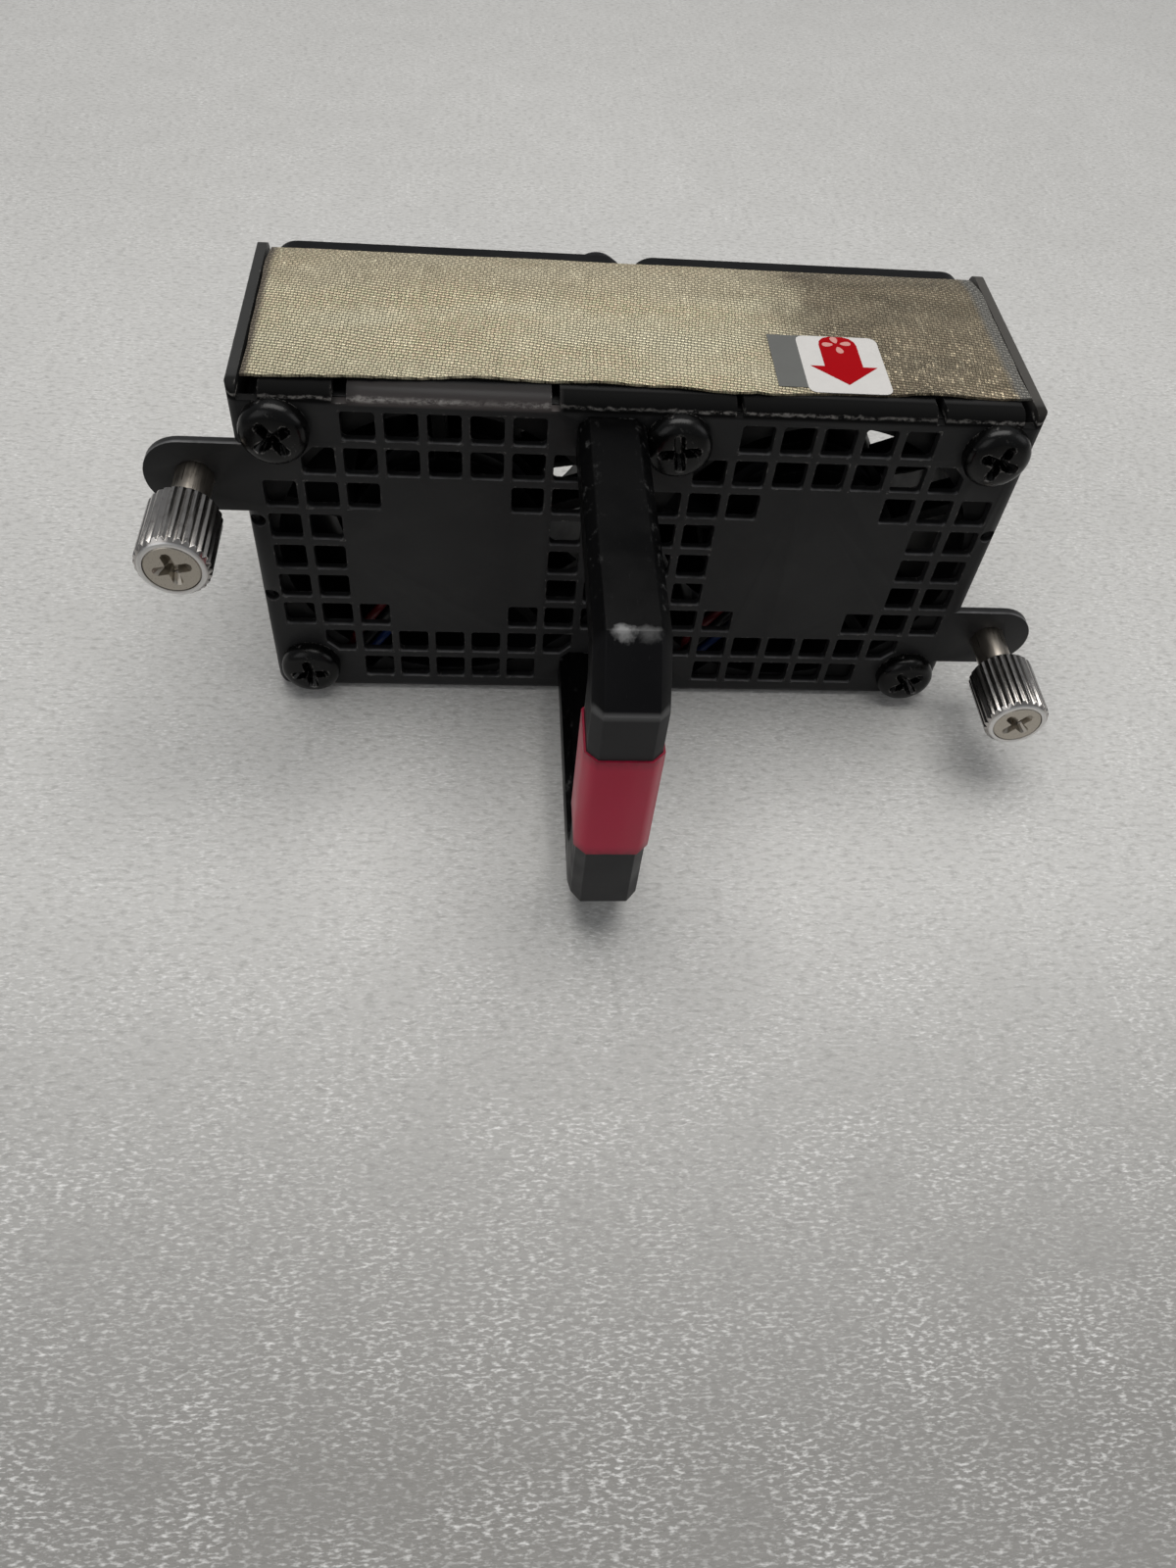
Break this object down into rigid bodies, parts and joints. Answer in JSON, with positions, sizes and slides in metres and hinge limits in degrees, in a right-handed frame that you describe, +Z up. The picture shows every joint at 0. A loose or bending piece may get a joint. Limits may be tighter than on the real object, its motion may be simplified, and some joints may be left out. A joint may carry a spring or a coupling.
{
  "type": "switch fan tray",
  "caption": "Folded sheet fan tray with a perforated front, axial fans, a pull handle, captive thumbscrews on side ears and a conductive gasket on top.",
  "frame": {"origin": "middle of the underside of the tray's floor", "axes": "+X to the right seen from the front, +Y to the rear, +Z up; the grille faces -Y"},
  "size_m": [0.0972, 0.0728, 0.0408],
  "materials": {
    "coated_sheet": "black powder coat, fine texture",
    "handle_plastic": "satin",
    "band_vinyl": "gloss",
    "black_screw": "black oxide, oiled",
    "gasket_fabric": "metal-plated weave",
    "gasket_foam": "closed-cell foam, matt",
    "label_film": "printed film",
    "fan_plastic": "glass-filled, matt",
    "impeller_plastic": "satin",
    "bearing_steel": "ground",
    "stator_steel": "laminated",
    "winding": "enamelled copper wire",
    "board": "solder mask",
    "ring_magnet": "bonded ferrite in its steel yoke",
    "shaft_steel": "polished",
    "red_wire": "satin",
    "black_wire": "satin",
    "blue_wire": "satin",
    "plated_steel": "turned, nickel plated",
    "knob_chrome": "bright nickel, knurled",
    "screw_steel": "turned, nickel plated",
    "spring_steel": "drawn wire",
    "connector_plastic": "moulded",
    "contact_metal": "gold flash"
  },
  "bodies": {
    "tray_body": {"tray": "coated_sheet", "handle": "handle_plastic", "handle_band": "band_vinyl", "fan_screws": "black_screw", "handle_screws": "black_screw", "gasket_foam": "gasket_foam", "gasket_fabric": "gasket_fabric", "airflow_label": "label_film", "connector_screws": "plated_steel", "left_fan_frame": "fan_plastic", "left_front_bearing": "bearing_steel", "left_rear_bearing": "bearing_steel", "left_stator_core": "stator_steel", "left_coils": "winding", "left_circuit_board": "board", "left_red_lead": "red_wire", "left_black_lead": "black_wire", "left_blue_lead": "blue_wire", "left_connector": "connector_plastic", "left_contacts": "contact_metal", "left_retainer": "plated_steel", "right_fan_frame": "fan_plastic", "right_front_bearing": "bearing_steel", "right_rear_bearing": "bearing_steel", "right_stator_core": "stator_steel", "right_coils": "winding", "right_circuit_board": "board", "right_red_lead": "red_wire", "right_black_lead": "black_wire", "right_blue_lead": "blue_wire", "right_connector": "connector_plastic", "right_contacts": "contact_metal", "right_retainer": "plated_steel"},
    "left_rotor": {"left_impeller": "impeller_plastic", "left_ring_magnet": "ring_magnet", "left_shaft": "shaft_steel"},
    "left_plunger": {"left_spring": "spring_steel"},
    "left_thumbscrew": {"left_knob": "knob_chrome", "left_captive_screw": "screw_steel"},
    "right_rotor": {"right_impeller": "impeller_plastic", "right_ring_magnet": "ring_magnet", "right_shaft": "shaft_steel"},
    "right_plunger": {"right_spring": "spring_steel"},
    "right_thumbscrew": {"right_knob": "knob_chrome", "right_captive_screw": "screw_steel"}
  },
  "joints": [
    {"name": "left_rotor_spin", "type": "hinge", "parent": "tray_body", "child": "left_rotor", "pos_m": [-0.0193, -0.01255, 0.0202], "axis": [0, 1, 0], "continuous": true},
    {"name": "left_thumbscrew_press", "type": "slide", "parent": "tray_body", "child": "left_plunger", "axis": [0, 1, 0], "range_m": [0, 0.0048], "stiffness_N_per_m": 500, "springref_m": -0.002, "deforming": ["left_spring"]},
    {"name": "left_thumbscrew_turn", "type": "hinge", "parent": "left_plunger", "child": "left_thumbscrew", "pos_m": [-0.04372, -0.0136, 0.0302], "axis": [0, 1, 0], "continuous": true},
    {"name": "right_rotor_spin", "type": "hinge", "parent": "tray_body", "child": "right_rotor", "pos_m": [0.0193, -0.01255, 0.0202], "axis": [0, 1, 0], "continuous": true},
    {"name": "right_thumbscrew_press", "type": "slide", "parent": "tray_body", "child": "right_plunger", "axis": [0, 1, 0], "range_m": [0, 0.0048], "stiffness_N_per_m": 500, "springref_m": -0.002, "deforming": ["right_spring"]},
    {"name": "right_thumbscrew_turn", "type": "hinge", "parent": "right_plunger", "child": "right_thumbscrew", "pos_m": [0.04372, -0.0136, 0.0102], "axis": [0, 1, 0], "continuous": true}
  ]
}
